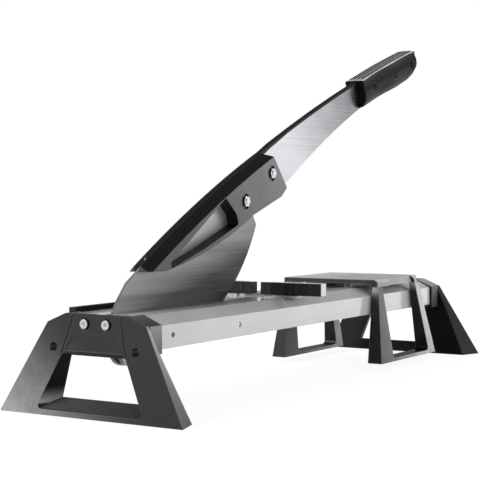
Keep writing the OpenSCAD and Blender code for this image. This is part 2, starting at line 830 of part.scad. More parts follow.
// Outline of the lever bar: tongue inside the holder, free length, tang inside the handle
module bar_outline() {
    tang_end = tang_share * handle_length;
    cover = [0, crest_cover];
    intersection() {
        polygon([for (s = tongue_shares) lever_point(s)]);
        translate([0, -crest_inset]) crest_disc();
        translate(cover) holder_low_disc();
    }
    difference() {
        intersection() {
            polygon(concat(
                [for (s = bar_start_shares) lever_point(s)],
                [lever_point(bar_low_end_share) - [0, tang_height], handle_point(handle_collar, -tang_height),
                 handle_point(handle_collar, 2 * tang_height)]
            ));
            arc_disc(lever_point(bar_top_start_share), lever_point(bar_top_end_share),
                     bar_top_bulge_share * blade_reach);
        }
        arc_disc(lever_point(bar_low_start_share), lever_point(bar_low_end_share),
                 bar_low_bulge_share * blade_reach);
    }
    polygon([handle_point(0, -tang_height / 2), handle_point(tang_end, -tang_height / 2),
             handle_point(tang_end, tang_height / 2), handle_point(0, tang_height / 2)]);
}

module lever_bar() {
    color(aluminium) place() difference() {
        across(blade_side, blade_side + bar_thickness) bar_outline();
        across(blade_side - overrun, blade_side + blade_thickness)
            polygon([for (s = tongue_cut_shares) lever_point(s)]);
        for (s = bolt_shares)
            cross_rod(lever_point(s)[0], lever_point(s)[1], blade_side - overrun,
                      blade_side + bar_thickness + overrun, m6_shank + 2 * fit_gap);
        for (s = handle_screw_shares)
            let (p = handle_point(s[0] * handle_length, s[1] * handle_top))
                cross_rod(p[0], p[1], blade_side - overrun, blade_side + bar_thickness + overrun,
                          m4_shank + 2 * fit_gap);
    }
}

// Disc of the holder's lower edge
module holder_low_disc() {
    arc_disc(lever_point(holder_low_end_share), lever_point(holder_low_start_share),
             holder_low_bulge_share * blade_reach);
}

// Outline of a holder cheek, up to the crest
module holder_outline() {
    intersection() {
        union() {
            intersection() {
                polygon([for (s = holder_arm_shares) lever_point(s)]);
                holder_low_disc();
            }
            polygon([for (s = holder_block_shares) lever_point(s)]);
        }
        crest_disc();
    }
}

// Bevel along the crest, swept about the crest's own centre
module crest_bevel(face, ridge) {
    a = lever_point(crest_start_share);
    b = lever_point(crest_end_share);
    r = arc_radius(a, b, crest_bulge_share * blade_reach);
    o = arc_centre(a, b, crest_bulge_share * blade_reach);
    from = atan2(b[1] - o[1], b[0] - o[0]) - bevel_run_angle;
    to = atan2(a[1] - o[1], a[0] - o[0]) + bevel_run_angle;
    slope = (ridge - face) / holder_bevel;
    translate([o[0], 0, o[1]]) rotate([90, 0, 0]) rotate([0, 0, from])
        rotate_extrude(angle = to - from, $fn = arc_facets)
            polygon([[r - holder_bevel - overrun, -face + slope * overrun],
                     [r + 2 * overrun, -face + slope * overrun],
                     [r + 2 * overrun, -ridge - slope * 2 * overrun]]);
}

// Planes of a holder cheek: where it meets the bar or blade, its outer face, its ridge
function cheek_planes(side) = let (middle = blade_side + bar_thickness / 2) [
    middle + side * bar_thickness / 2,
    middle + side * (bar_thickness / 2 + (side < 0 ? right_cheek_thickness : left_cheek_thickness)),
    middle + side * holder_ridge_width / 2
];

// Cut that draws the cheek's nose in towards the blade, square to the blade's back
module nose_cut(side) {
    p = cheek_planes(side);
    end = lever_point(holder_face_end_share);
    angle = atan(side * (p[1] - p[0]) / holder_nose_draw);
    translate([end[0], p[1], end[1]]) rotate([0, -nose_tilt, 0]) rotate([0, 0, -side * angle])
        translate([-blade_reach, side > 0 ? 0 : -blade_reach, -blade_reach])
            cube([blade_reach, blade_reach, 2 * blade_reach]);
}

// One cheek of the blade holder with its window, its bevel and two bolt holes
module holder(side) {
    p = cheek_planes(side);
    low = min(p[0], p[1]);
    high = max(p[0], p[1]);
    difference() {
        across(low, high) holder_outline();
        crest_bevel(p[1], p[2]);
        nose_cut(side);
        across(low - overrun, high + overrun)
            rounded_polygon([for (s = holder_window_shares) lever_point(s)], window_round);
        for (s = bolt_shares) {
            cross_rod(lever_point(s)[0], lever_point(s)[1], low - overrun, high + overrun, m6_shank + 2 * fit_gap);
            let (c = lever_point(s), deep = p[1] - side * bolt_recess_depth, out = p[1] + side * overrun)
                cross_rod(c[0], c[1], min(deep, out), max(deep, out), bolt_recess_diameter);
        }
    }
}

module right_holder() { color(moulding) place() holder(-1); }
module left_holder() { color(moulding) place() holder(1); }

// Bolts come from the left, nuts sit in the right cheek's recesses
module holder_bolts() {
    nut_seat = cheek_planes(-1)[1] + bolt_recess_depth;
    head_seat = cheek_planes(1)[1] - bolt_recess_depth;
    color(zinc) place()
        for (s = bolt_shares)
            let (c = lever_point(s)) {
                cross_rod(c[0], c[1], nut_seat - m6_nut_height - overrun, head_seat + overrun, m6_shank);
                translate([c[0], head_seat + m6_head_height, c[1]]) rotate([90, 0, 0])
                    cylinder(d = m6_flats / cos(30), h = m6_head_height, $fn = 6);
            }
}

module holder_nuts() {
    nut_seat = cheek_planes(-1)[1] + bolt_recess_depth;
    color(zinc) place()
        for (s = bolt_shares)
            let (c = lever_point(s))
                translate([c[0], nut_seat, c[1]]) rotate([90, 0, 0])
                    hex_nut(m6_flats, m6_shank + 2 * fit_gap, m6_nut_height);
}

// Side outline of the handle in its own frame
module handle_outline() {
    l = handle_length;
    h = handle_top;
    polygon(concat(
        [[-handle_skew, handle_front_low_share * h]],
        [for (s = handle_low_shares) [s[0] * l, s[1] * h]],
        [for (s = handle_end_shares) [s[0] * l, s[1] * h]],
        [[handle_crown_share * handle_skew, h]]
    ));
}

// Whole handle body without its inside
module handle_body() {
    middle = blade_side + bar_thickness / 2;
    half = handle_width / 2;
    on_handle() intersection() {
        across(middle - half, middle + half) handle_outline();
        along(-2 * handle_skew, handle_length + overrun)
            translate([middle, 0])
                rounded_polygon([[-half, -handle_top], [half, -handle_top], [half, handle_top],
                                 [-half, handle_top]], handle_edge_round);
    }
}

// Everything taken out of the handle: tang slot, pad seat, screw holes
module handle_hollow() {
    middle = blade_side + bar_thickness / 2;
    half = bar_thickness / 2;
    seat = handle_width / 2 - m4_head_height - overrun;
    on_handle() {
        across(middle - half, middle + half)
            polygon([[-2 * handle_skew, -handle_top], [handle_collar + slide_gap, -handle_top],
                     [handle_collar + slide_gap, -tang_height / 2 - slide_gap],
                     [tang_share * handle_length + slide_gap, -tang_height / 2 - slide_gap],
                     [tang_share * handle_length + slide_gap, tang_height / 2 + slide_gap],
                     [handle_collar + slide_gap, tang_height / 2 + slide_gap],
                     [handle_collar + slide_gap, handle_top + overrun],
                     [-2 * handle_skew, handle_top + overrun]]);
        translate([handle_pad_start_share * handle_length, middle - handle_pad_width / 2, handle_top - handle_pad_height])
            cube([handle_pad_share * handle_length, handle_pad_width, handle_top]);
        for (s = handle_screw_shares) {
            cross_rod(s[0] * handle_length, s[1] * handle_top, middle - seat, middle + seat,
                      m4_shank + 2 * fit_gap);
            cross_rod(s[0] * handle_length, s[1] * handle_top, middle - handle_width, middle - seat,
                      m4_head + 6 * fit_gap);
        }
    }
}

module handle_half(side) {
    middle = blade_side + bar_thickness / 2;
    o = lever_point(handle_origin_share);
    intersection() {
        difference() {
            handle_body();
            handle_hollow();
        }
        translate([o[0] - handle_length, side > 0 ? middle : middle - handle_width, 0])
            cube([3 * handle_length, handle_width, 4 * blade_reach]);
    }
}

module right_handle_shell() { color(moulding) place() handle_half(-1); }
module left_handle_shell() { color(moulding) place() handle_half(1); }

// Soft ribbed pad let into the handle's upper side
module handle_pad() {
    middle = blade_side + bar_thickness / 2;
    length = handle_pad_share * handle_length;
    pitch = length / handle_rib_count;
    color("#5b5d60") place() on_handle() difference() {
        translate([handle_pad_start_share * handle_length, middle - handle_pad_width / 2,
                   handle_top - handle_pad_height])
            cube([length, handle_pad_width, handle_pad_height]);
        for (i = [1 : handle_rib_count - 1])
            translate([handle_pad_start_share * handle_length + i * pitch - handle_rib_share * pitch / 2,
                       middle - handle_pad_width / 2 + overrun, handle_top - handle_rib_depth])
                cube([handle_rib_share * pitch, handle_pad_width - 2 * overrun, handle_pad_height]);
    }
}

module handle_screws() {
    middle = blade_side + bar_thickness / 2;
    seat = handle_width / 2 - m4_head_height - overrun;
    color(zinc) place() on_handle()
        for (s = handle_screw_shares)
            translate([s[0] * handle_length, middle - seat, s[1] * handle_top]) rotate([90, 0, 0])
                socket_screw(m4_shank, m4_head, m4_head_height, m4_socket, 2 * seat - m4_head_height);
}

// Frame of the fence: origin on its swivel point, on the table
module on_fence() { translate([fence_station, blade_middle, table_height]) children(); }

// Arc slot behind the fence that the guide screws run in
module guide_slot() {
    width = m4_shank + guide_play;
    depth = fence_plate + 2 * overrun;
    translate([0, 0, -overrun]) rotate([0, 0, -guide_slot_angle])
        rotate_extrude(angle = 2 * guide_slot_angle)
            translate([guide_radius - width / 2, 0]) square([width, depth]);
    for (s = [-1, 1])
        rotate([0, 0, s * guide_slot_angle])
            translate([guide_radius, 0, -overrun]) cylinder(d = width, h = depth);
}

// Centres of the rivets that hold a rail on the plate
function rivet_points(side) = [for (y = [rivet_offset, rivet_far_offset])
    [(fence_depth + strip_thickness) / 2, side * y]];

// Base plate that turns on the table, round behind the fence, open where the blade comes down
module fence_plate_slide() {
    color(steel) place() on_fence() difference() {
        linear_extrude(fence_plate) difference() {
            intersection() {
                circle(r = plate_radius);
                translate([-plate_front, -plate_radius]) square([2 * plate_radius, 2 * plate_radius]);
            }
            circle(r = plate_hole_radius);
        }
        guide_slot();
        for (s = [-1, 1], p = rivet_points(s))
            translate([p[0], p[1], -overrun])
                cylinder(d = rivet_diameter + 2 * fit_gap, h = fence_plate + 2 * overrun);
    }
}

// One fence rail; its inner end flares so that the blade stays clear at every angle
module fence_rail(side) {
    end = fence_length / 2;
    near = fence_gap / 2 + strip_thickness;
    far = fence_gap / 2 + fence_depth;
    difference() {
        mirror([0, side > 0 ? 0 : 1, 0]) translate([0, 0, fence_plate]) linear_extrude(fence_height)
            polygon([[strip_thickness, near], [fence_depth, far], [fence_depth, end], [strip_thickness, end]]);
        for (p = rivet_points(side))
            translate([p[0], p[1], 0])
                cylinder(d = rivet_diameter + 2 * fit_gap, h = fence_plate + rivet_grip + fit_gap);
    }
}

module right_fence_rail() { color(aluminium) place() on_fence() fence_rail(-1); }
module left_fence_rail() { color(aluminium) place() on_fence() fence_rail(1); }

// Ribbed facing of a rail, which the plank is pushed against
module fence_strips() {
    end = fence_length / 2;
    gap = fence_gap / 2;
    color(rubber) place() on_fence() translate([0, 0, fence_plate])
        for (s = [0, 1])
            mirror([0, s, 0]) linear_extrude(fence_height) {
                polygon([[rib_depth, gap + rib_depth], [strip_thickness, gap + strip_thickness],
                         [strip_thickness, end], [rib_depth, end]]);
                for (i = [0 : rib_count - 1])
                    translate([0, gap + rib_start + i * rib_pitch - rib_width / 2])
                        square([strip_thickness, rib_width]);
            }
}

module fence_rivets() {
    color(zinc) place() on_fence()
        for (s = [-1, 1], p = rivet_points(s))
            translate([p[0], p[1], 0]) cylinder(d = rivet_diameter, h = fence_plate + rivet_grip);
}

module fence_guide_screws() {
    color(zinc) place() on_fence()
        for (s = [-1, 1])
            rotate([0, 0, s * guide_screw_angle]) translate([guide_radius, 0, fence_plate])
                socket_screw(m4_shank, m4_head, m4_head_height, m4_socket, table_wall + fence_plate);
}

// Support that straddles the rails and carries long planks
module support_top() {
    h = support_top_height;
    inner = beam_half + leg_inner_gap;
    outer = support_width / 2;
    low = h - skirt_height;
    color(moulding) place() difference() {
        intersection() {
            along(support_station, support_station + support_length)
                difference() {
                    union() {
                        polygon([[-outer, low], [outer, low], [outer, h - skirt_round], [outer - skirt_round, h],
                                 [skirt_round - outer, h], [-outer, h - skirt_round]]);
                        for (s = [-1, 1])
                            intersection() {
                                translate([s * (outer - skirt_round), h - skirt_round]) circle(r = skirt_round);
                                translate([-outer - overrun, low]) square([2 * (outer + overrun), skirt_height]);
                            }
                    }
                    translate([-inner, low - overrun]) square([2 * inner, skirt_height - support_wall + overrun]);
                }
            linear_extrude(h + overrun)
                rounded_polygon([[support_station, -outer], [support_station + support_length, -outer],
                                 [support_station + support_length, outer], [support_station, outer]], corner_round);
        }
        for (s = [-1, 1])
            across(min(s * (outer - arch_depth), s * (outer + overrun)),
                   max(s * (outer - arch_depth), s * (outer + overrun))) arch_outline();
        for (i = [-1, 1])
            translate([support_station + (support_length + i * top_slot_pitch - top_slot_width) / 2,
                       -top_slot_length / 2, h - support_wall - overrun])
                cube([top_slot_width, top_slot_length, support_wall + 2 * overrun]);
    }
    color(moulding) place()
        for (s = [-1, 1])
            translate([support_station, s * runner_offset - runner_width / 2, table_height + slide_gap / 3])
                cube([support_length, runner_width, support_rise - overrun]);
}

// Side view of the arch between the posts, cut into the edge of the top
module arch_outline() {
    x0 = support_station + arch_start;
    x1 = support_station + support_length - arch_end;
    h = support_top_height;
    rounded_polygon([[x0, h - 2 * arch_round - skirt_height], [x1, h - 2 * arch_round - skirt_height],
                     [x1, h + overrun], [x0, h + overrun]], arch_round);
}

// Side view of a leg: two posts on a sole bar, under the top's skirt
module leg_outline() {
    x0 = support_station;
    x1 = support_station + support_length;
    top = support_top_height - skirt_height;
    base = support_ground_gap;
    difference() {
        polygon([[x0 + leg_top_inset - leg_lean, base], [x1 + leg_tail, base], [x1, top], [x0 + leg_top_inset, top]]);
        rounded_polygon([
            [x0 + leg_top_inset - leg_lean + leg_post_front_sole, base + leg_window_base],
            [x1 + leg_tail - leg_post_rear_sole, base + leg_window_base],
            [x1 - leg_post_rear_top, top + leg_window_round + overrun],
            [x0 + leg_top_inset + leg_post_front_top, top + leg_window_round + overrun]
        ], leg_window_round);
    }
}

// Front view of a leg: upright inside, flared outside
module leg_section() {
    inner = beam_half + leg_inner_gap;
    sole = support_spread / 2;
    polygon([[sole - leg_sole_width, support_ground_gap], [sole, support_ground_gap],
             [support_width / 2, support_top_height - skirt_height], [inner, support_top_height - skirt_height]]);
}

module support_leg(side) {
    mirror([0, side > 0 ? 0 : 1, 0]) intersection() {
        across(0, support_spread) leg_outline();
        along(support_station - 2 * leg_lean, support_station + support_length + 2 * leg_tail) leg_section();
    }
}

module right_support_leg() { color(moulding) place() support_leg(-1); }
module left_support_leg() { color(moulding) place() support_leg(1); }

front_foot();
rear_foot();
front_foot_screws();
rear_foot_screws();
front_foot_pads();
rear_foot_pads();
right_rail();
left_rail();
rail_ties();
counter_blade();
counter_blade_screws();
edge_strip();
right_cheek();
left_cheek();
cheek_screws();
hinge_pin();
hinge_nut();
thrust_washers();
blade();
blade_bush();
lever_bar();
right_holder();
left_holder();
holder_bolts();
holder_nuts();
right_handle_shell();
left_handle_shell();
handle_pad();
handle_screws();
fence_plate_slide();
right_fence_rail();
left_fence_rail();
fence_strips();
fence_rivets();
fence_guide_screws();
support_top();
right_support_leg();
left_support_leg();
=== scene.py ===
import bpy
import numpy as np
from mathutils import Matrix


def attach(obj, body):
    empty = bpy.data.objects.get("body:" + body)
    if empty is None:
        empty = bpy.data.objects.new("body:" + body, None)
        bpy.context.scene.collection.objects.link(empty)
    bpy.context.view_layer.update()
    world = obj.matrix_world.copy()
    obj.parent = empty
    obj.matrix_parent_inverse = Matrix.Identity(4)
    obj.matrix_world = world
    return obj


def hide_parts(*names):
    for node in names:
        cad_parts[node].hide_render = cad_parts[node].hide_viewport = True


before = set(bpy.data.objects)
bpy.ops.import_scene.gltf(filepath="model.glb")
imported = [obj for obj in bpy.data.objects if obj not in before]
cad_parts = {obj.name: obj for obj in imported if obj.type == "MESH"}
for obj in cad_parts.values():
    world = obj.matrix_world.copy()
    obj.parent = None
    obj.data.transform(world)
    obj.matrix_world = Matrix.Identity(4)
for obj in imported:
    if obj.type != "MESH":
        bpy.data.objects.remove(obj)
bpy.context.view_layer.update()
MM = 0.001


# Colours and nodes

# A Mix node that blends colours has these settings and this output
COLOURS, BLENDED = {"data_type": "RGBA"}, 2
TIMES = {"operation": "MULTIPLY"}

# How rough the noise is, and the middle of its range, which is stretched to a share from 0 to 1
CLOUD_ROUGHNESS, CLOUD_LOW, CLOUD_HIGH = 0.58, 0.28, 0.72
# Cosine between the eased and the flat surface where an edge begins and where it is full
EDGE_BEGINS, EDGE_FULL = 0.995, 0.86


def tone(code):
    """sRGB hex to linear RGBA: below 0.04045 divide by 12.92, above take ((c + 0.055) / 1.055) to the power 2.4."""
    c = np.array([int(code[i:i + 2], 16) for i in (1, 3, 5)]) / 255.0
    c = np.where(c <= 0.04045, c / 12.92, ((c + 0.055) / 1.055) ** 2.4)
    return (*map(float, c), 1.0)


def add(tree, kind, settings=None, out=0, **inputs):
    """Adds a node with its settings and links and returns one of its outputs. An input goes by its name, or by its
    number as i0 or i1; a socket is linked to it, and anything else becomes its value."""
    made = tree.nodes.new(kind)
    for key, value in (settings or {}).items():
        setattr(made, key, value)
    for key, value in inputs.items():
        slot = made.inputs[int(key[1:]) if key[1:].isdigit() else key.replace("_", " ")]
        if isinstance(value, bpy.types.NodeSocket):
            tree.links.new(value, slot)
        else:
            slot.default_value = value
    return made.outputs[out]


def finish_named(name, colour, metallic, roughness, **sockets):
    """New material; returns it with its tree, its shader and the place on the object."""
    material = bpy.data.materials.new(name)
    material.use_nodes = True
    tree = material.node_tree
    shader = tree.nodes["Principled BSDF"]
    shader.inputs["Base Color"].default_value = tone(colour)
    shader.inputs["Metallic"].default_value = metallic
    shader.inputs["Roughness"].default_value = roughness
    for key, value in sockets.items():
        shader.inputs[key.replace("_", " ")].default_value = value
    return material, tree, shader, add(tree, "ShaderNodeTexCoord", out="Object")


def uneven(tree, place, sizes, detail=2.0, turn=(0, 0, 0)):
    """Share from 0 to 1 that wanders over the surface in spots of the given sizes in millimetres along three axes."""
    cells = add(tree, "ShaderNodeMapping", Vector=place, Scale=[1 / (size * MM) for size in sizes], Rotation=turn)
    cloud = add(tree, "ShaderNodeTexNoise", Vector=cells, Scale=1.0, Detail=detail, Roughness=CLOUD_ROUGHNESS)
    return add(tree, "ShaderNodeMapRange", i0=cloud, i1=CLOUD_LOW, i2=CLOUD_HIGH)


def share_along(tree, vector, direction, low, high):
    """Share from 0 to 1 as the vector's part along a direction goes from low to high."""
    part = add(tree, "ShaderNodeVectorMath", {"operation": "DOT_PRODUCT"}, "Value", i0=vector, i1=direction)
    return add(tree, "ShaderNodeMapRange", i0=part, i1=low, i2=high)


def soft_edges(tree, shader, radius, height, distance, strength):
    """Edges eased over a radius, with a bump of the given height share and distance over them, lengths in
    millimetres; returns the share by which the eased surface turns from the flat one, which is 1 on an edge."""
    eased = add(tree, "ShaderNodeBevel", {"samples": 6}, Radius=radius * MM)
    bumped = add(tree, "ShaderNodeBump", Height=height, Distance=distance * MM, Strength=strength, Normal=eased)
    tree.links.new(bumped, shader.inputs["Normal"])
    flat = add(tree, "ShaderNodeNewGeometry", out="Normal")
    return share_along(tree, eased, flat, EDGE_BEGINS, EDGE_FULL)


# Materials

# Patterns have their sizes in millimetres along X, Y and Z, and how dark and pale, glossy and dull they go
MOULD_GRAIN, GRAIN_DARK, GRAIN_PALE = (0.8, 0.8, 0.8), 0.55, 1.45
MOULD_CLOUD, CLOUD_DARK, CLOUD_PALE = (30, 30, 30), 0.75, 1.25
NYLON_GLOSSIER, NYLON_DULLER = -0.05, 0.08
# How much more squarely than asked a face looks where its painted light and shade is full, and the power by which its
# tone rises
FACE_BAND, FACE_RISE = 0.06, 2.0
# Share of the paler edge tone, painted highlight and partly rubbing, in the grain's hollows and on its high grains
HIGHLIGHT_AND_RUB_IN_HOLLOWS, HIGHLIGHT_AND_RUB_ON_GRAINS = 0.35, 0.8


def moulded_nylon(name, facet, faces, rough, edge_highlight_and_rub="#6f7072", specular=0.4, grit=0.05):
    """Black glass-filled nylon from a spark-eroded mould. Each broad face gets painted light and shade, given by its
    direction and how squarely it looks there, two tones, and the slope from one to the other with its start and end in
    metres. It has a 0.8 mm grain, which reads grey, and clouds of 30 mm; the painted tone rises with the square of the
    way up the slope. Between the faces the tone is plain and near black. Edges take a paler tone, a painted highlight
    that partly stands for rubbing, most on the high grains."""
    material, tree, shader, place = finish_named(name, facet, metallic=0.0, roughness=rough, IOR=1.5,
                                                 Specular_IOR_Level=specular)
    outward = place.node.outputs["Normal"]
    grain = uneven(tree, place, MOULD_GRAIN, detail=4.0)
    cloud = uneven(tree, place, MOULD_CLOUD, detail=3.0)
    shade = add(tree, "ShaderNodeMath", TIMES,
                i0=add(tree, "ShaderNodeMix", i0=cloud, i2=CLOUD_DARK, i3=CLOUD_PALE),
                i1=add(tree, "ShaderNodeMix", i0=grain, i2=GRAIN_DARK, i3=GRAIN_PALE))
    body = tone(facet)
    # Painted light and shade: each broad face gets its own tones, rising along its slope
    for toward, squarely, near, far, slope, low, high in faces:
        climb = share_along(tree, place, slope, low, high)
        lift = add(tree, "ShaderNodeMath", {"operation": "POWER"}, i0=climb, i1=FACE_RISE)
        level = add(tree, "ShaderNodeMath", TIMES, i0=lift, i1=shade)
        paint = add(tree, "ShaderNodeMix", COLOURS, BLENDED, i0=level, i6=tone(near), i7=tone(far))
        facing = share_along(tree, outward, toward, squarely, squarely + FACE_BAND)
        body = add(tree, "ShaderNodeMix", COLOURS, BLENDED, i0=facing, i6=body, i7=paint)
    # Paler edges: painted highlight, partly standing for rubbing, most on the high grains
    edge = soft_edges(tree, shader, radius=1.1, height=grain, distance=grit, strength=0.5)
    highlight_and_rub_share = add(tree, "ShaderNodeMix", i0=grain, i2=HIGHLIGHT_AND_RUB_IN_HOLLOWS, i3=HIGHLIGHT_AND_RUB_ON_GRAINS)
    highlight_and_rub_on_edges = add(tree, "ShaderNodeMath", TIMES, i0=edge, i1=highlight_and_rub_share)
    paint = add(tree, "ShaderNodeMix", COLOURS, BLENDED, i0=highlight_and_rub_on_edges, i6=body, i7=tone(edge_highlight_and_rub))
    lustre = add(tree, "ShaderNodeMix", i0=grain, i2=rough + NYLON_GLOSSIER, i3=rough + NYLON_DULLER)
    tree.links.new(paint, shader.inputs["Base Color"])
    tree.links.new(lustre, shader.inputs["Roughness"])
    return material


DIE_LINES, DIE_LINE_TONE = (330, 0.8, 0.8), 0.08
OXIDE_CLOUD, OXIDE_TONE = (60, 60, 60), 0.1
ALUMINIUM_GLOSSIER, ALUMINIUM_DULLER = -0.02, 0.04


def drawn_aluminium(name, pale, shadow, metallic, rough, slope, low, high):
    """Extruded aluminium, satin anodised: the milky oxide scatters part of the light and the metal under it mirrors
    what stands on it. Faint die lines run along X, drawn at 0.8 mm where the real ones are 0.2 mm, among clouds of
    60 mm. The tone goes from a painted shadow tone to a pale one along a slope, as painted light and shade."""
    material, tree, shader, place = finish_named(name, pale, metallic=metallic, roughness=rough)
    lines = uneven(tree, place, DIE_LINES)
    cloud = uneven(tree, place, OXIDE_CLOUD)
    level = add(tree, "ShaderNodeMath", i0=add(tree, "ShaderNodeMix", i0=lines, i2=-DIE_LINE_TONE, i3=DIE_LINE_TONE),
                i1=add(tree, "ShaderNodeMix", i0=cloud, i2=-OXIDE_TONE, i3=OXIDE_TONE))
    # Painted light and shade: the tone goes from the shadow tone to the pale one along the slope
    level = add(tree, "ShaderNodeMath", i0=level, i1=share_along(tree, place, slope, low, high))
    paint = add(tree, "ShaderNodeMix", COLOURS, BLENDED, i0=level, i6=tone(shadow), i7=tone(pale))
    lustre = add(tree, "ShaderNodeMix", i0=lines, i2=rough + ALUMINIUM_GLOSSIER, i3=rough + ALUMINIUM_DULLER)
    tree.links.new(paint, shader.inputs["Base Color"])
    tree.links.new(lustre, shader.inputs["Roughness"])
    soft_edges(tree, shader, radius=0.6, height=lines, distance=0.0015, strength=0.5)
    return material


GRINDING_LINES, GRINDING_TONE = (80, 0.6, 0.6), 0.07
WHEEL_BELTS, BELT_TONE = (330, 14, 14), 0.1
STEEL_GLOSSIER, STEEL_DULLER = -0.03, 0.05


def brushed_steel(name, pale, shadow, metallic, rough, turn, slope, low, high):
    """Sheet steel, ground in lines drawn at 0.6 mm, along X or turned from it, with darker and brighter belts about
    14 mm wide where the wheel passed. The tone goes from a painted shadow tone to a pale one along a slope, as
    painted light and shade; the eye sees a streaked grey sheen."""
    material, tree, shader, place = finish_named(name, pale, metallic=metallic, roughness=rough)
    lines = uneven(tree, place, GRINDING_LINES, detail=3.0, turn=turn)
    belts = uneven(tree, place, WHEEL_BELTS, detail=1.0, turn=turn)
    level = add(tree, "ShaderNodeMath", i0=add(tree, "ShaderNodeMix", i0=lines, i2=-GRINDING_TONE, i3=GRINDING_TONE),
                i1=add(tree, "ShaderNodeMix", i0=belts, i2=-BELT_TONE, i3=BELT_TONE))
    # Painted light and shade: the tone goes from the shadow tone to the pale one along the slope
    level = add(tree, "ShaderNodeMath", i0=level, i1=share_along(tree, place, slope, low, high))
    paint = add(tree, "ShaderNodeMix", COLOURS, BLENDED, i0=level, i6=tone(shadow), i7=tone(pale))
    lustre = add(tree, "ShaderNodeMix", i0=lines, i2=rough + STEEL_GLOSSIER, i3=rough + STEEL_DULLER)
    tree.links.new(paint, shader.inputs["Base Color"])
    tree.links.new(lustre, shader.inputs["Roughness"])
    soft_edges(tree, shader, radius=0.5, height=lines, distance=0.0015, strength=0.5)
    return material


PLATING_SPOTS, PLATING_GLOSSIER, PLATING_DULLER = (1.5, 1.5, 1.5), -0.06, 0.1


def plated(name, colour, rough):
    """Plated, blackened or sintered metal of small hardware: slightly uneven lustre in spots of about 1.5 mm."""
    material, tree, shader, place = finish_named(name, colour, metallic=1.0, roughness=rough)
    spots = uneven(tree, place, PLATING_SPOTS)
    lustre = add(tree, "ShaderNodeMix", i0=spots, i2=rough + PLATING_GLOSSIER, i3=rough + PLATING_DULLER)
    tree.links.new(lustre, shader.inputs["Roughness"])
    soft_edges(tree, shader, radius=0.5, height=spots, distance=0.01, strength=0.3)
    return material


RUBBER_GRAIN = (0.8, 0.8, 0.8)
# Pale tone of rubber edges: partly bloom, partly painted highlight
RUBBER_BLOOM_AND_HIGHLIGHT = "#3a3b3c"
# How far from a ridge's middle its tone ends and where it is full, as shares of its width
RIDGE_ENDS, RIDGE_FULL = 0.65, 0.35


def soft_rubber(name, dark, pale, ridge=None, pitch=0.0, start=0.0, width=0.0):
    """Moulded rubber: near black, dull, with fine 0.8 mm unevenness and a pale tone on its edges, partly bloom and
    partly painted highlight. Where a ridge tone is given, raised lines take it as a painted highlight: one every pitch
    millimetres along Y from the start, as wide as said."""
    material, tree, shader, place = finish_named(name, dark, metallic=0.0, roughness=0.6, IOR=1.52,
                                                 Specular_IOR_Level=0.35)
    grain = uneven(tree, place, RUBBER_GRAIN)
    body = add(tree, "ShaderNodeMix", COLOURS, BLENDED, i0=grain, i6=tone(dark), i7=tone(pale))
    # Raised lines paler than the grooves between them: painted highlight on the ridges
    if ridge:
        across = add(tree, "ShaderNodeMath", i0=add(tree, "ShaderNodeSeparateXYZ", out="Y", i0=place), i1=-start * MM)
        away = add(tree, "ShaderNodeMath", {"operation": "PINGPONG"}, i0=across, i1=pitch / 2 * MM)
        near = add(tree, "ShaderNodeMapRange", i0=away, i1=RIDGE_ENDS * width * MM,
                   i2=RIDGE_FULL * width * MM)
        body = add(tree, "ShaderNodeMix", COLOURS, BLENDED, i0=near, i6=body, i7=tone(ridge))
    # Pale edges: partly bloom, partly painted highlight
    edge = soft_edges(tree, shader, radius=0.7, height=grain, distance=0.05, strength=0.6)
    paint = add(tree, "ShaderNodeMix", COLOURS, BLENDED, i0=edge, i6=body, i7=tone(RUBBER_BLOOM_AND_HIGHLIGHT))
    tree.links.new(paint, shader.inputs["Base Color"])
    return material


# Slopes along which a tone changes: painted light and shade on the parts, and the air's height
UP, DOWN, REARWARD, LEFTWARD = (0, 0, 1), (0, 0, -1), (1, 0, 0), (0, 1, 0)
DOWN_LEFT, DOWN_RIGHT = (0, 0.75, -1.0), (0, -0.75, -1.0)
UP_THE_LEVER, TO_THE_NOSE, OFF_THE_EDGE = (0.7, 0, 0.7), (-0.8, 0, -0.6), (-0.25, 0, 1)
BLADE_GRINDING_TURN, NO_TURN = (0, -0.45, 0), (0, 0, 0)

# Each face of painted light and shade has its direction and how squarely it looks there, its near and far tone, and
# its slope, low and high

foot_nylon = moulded_nylon("black_glass_filled_nylon_front_foot", "#0a0b0c", [
    # front: painted light, paler towards the lower left
    ((-0.988, 0, 0.155), 0.9, "#1c1d1e", "#a6a7a8", DOWN_LEFT, -0.065, 0.065),
    # slanted right side: painted light, paler upwards
    ((0.285, -0.854, 0.436), 0.94, "#5c5d5e", "#c4c5c6", UP, -0.02, 0.08),
    # left wall of the window: painted shade, with a painted highlight along the bottom
    ((-0.292, -0.877, -0.38), 0.94, "#0a0b0c", "#dcddde", DOWN, -0.026, -0.009),
    # right side of the sleeve: painted light, paler upwards
    ((0, -1, 0), 0.94, "#4c4d4e", "#c4c5c6", UP, 0.03, 0.10),
    # right slope between the sleeve's shoulder and crown: painted light, paler leftwards
    ((0, -0.391, 0.92), 0.94, "#2c2d2e", "#8c8d8e", LEFTWARD, -0.09, 0.0),
    # grooved floor of the window: painted light, paler leftwards
    ((-0.325, 0, 0.946), 0.94, "#2a2b2c", "#5a5b5c", LEFTWARD, -0.1, 0.1),
], rough=0.45, specular=0.3)
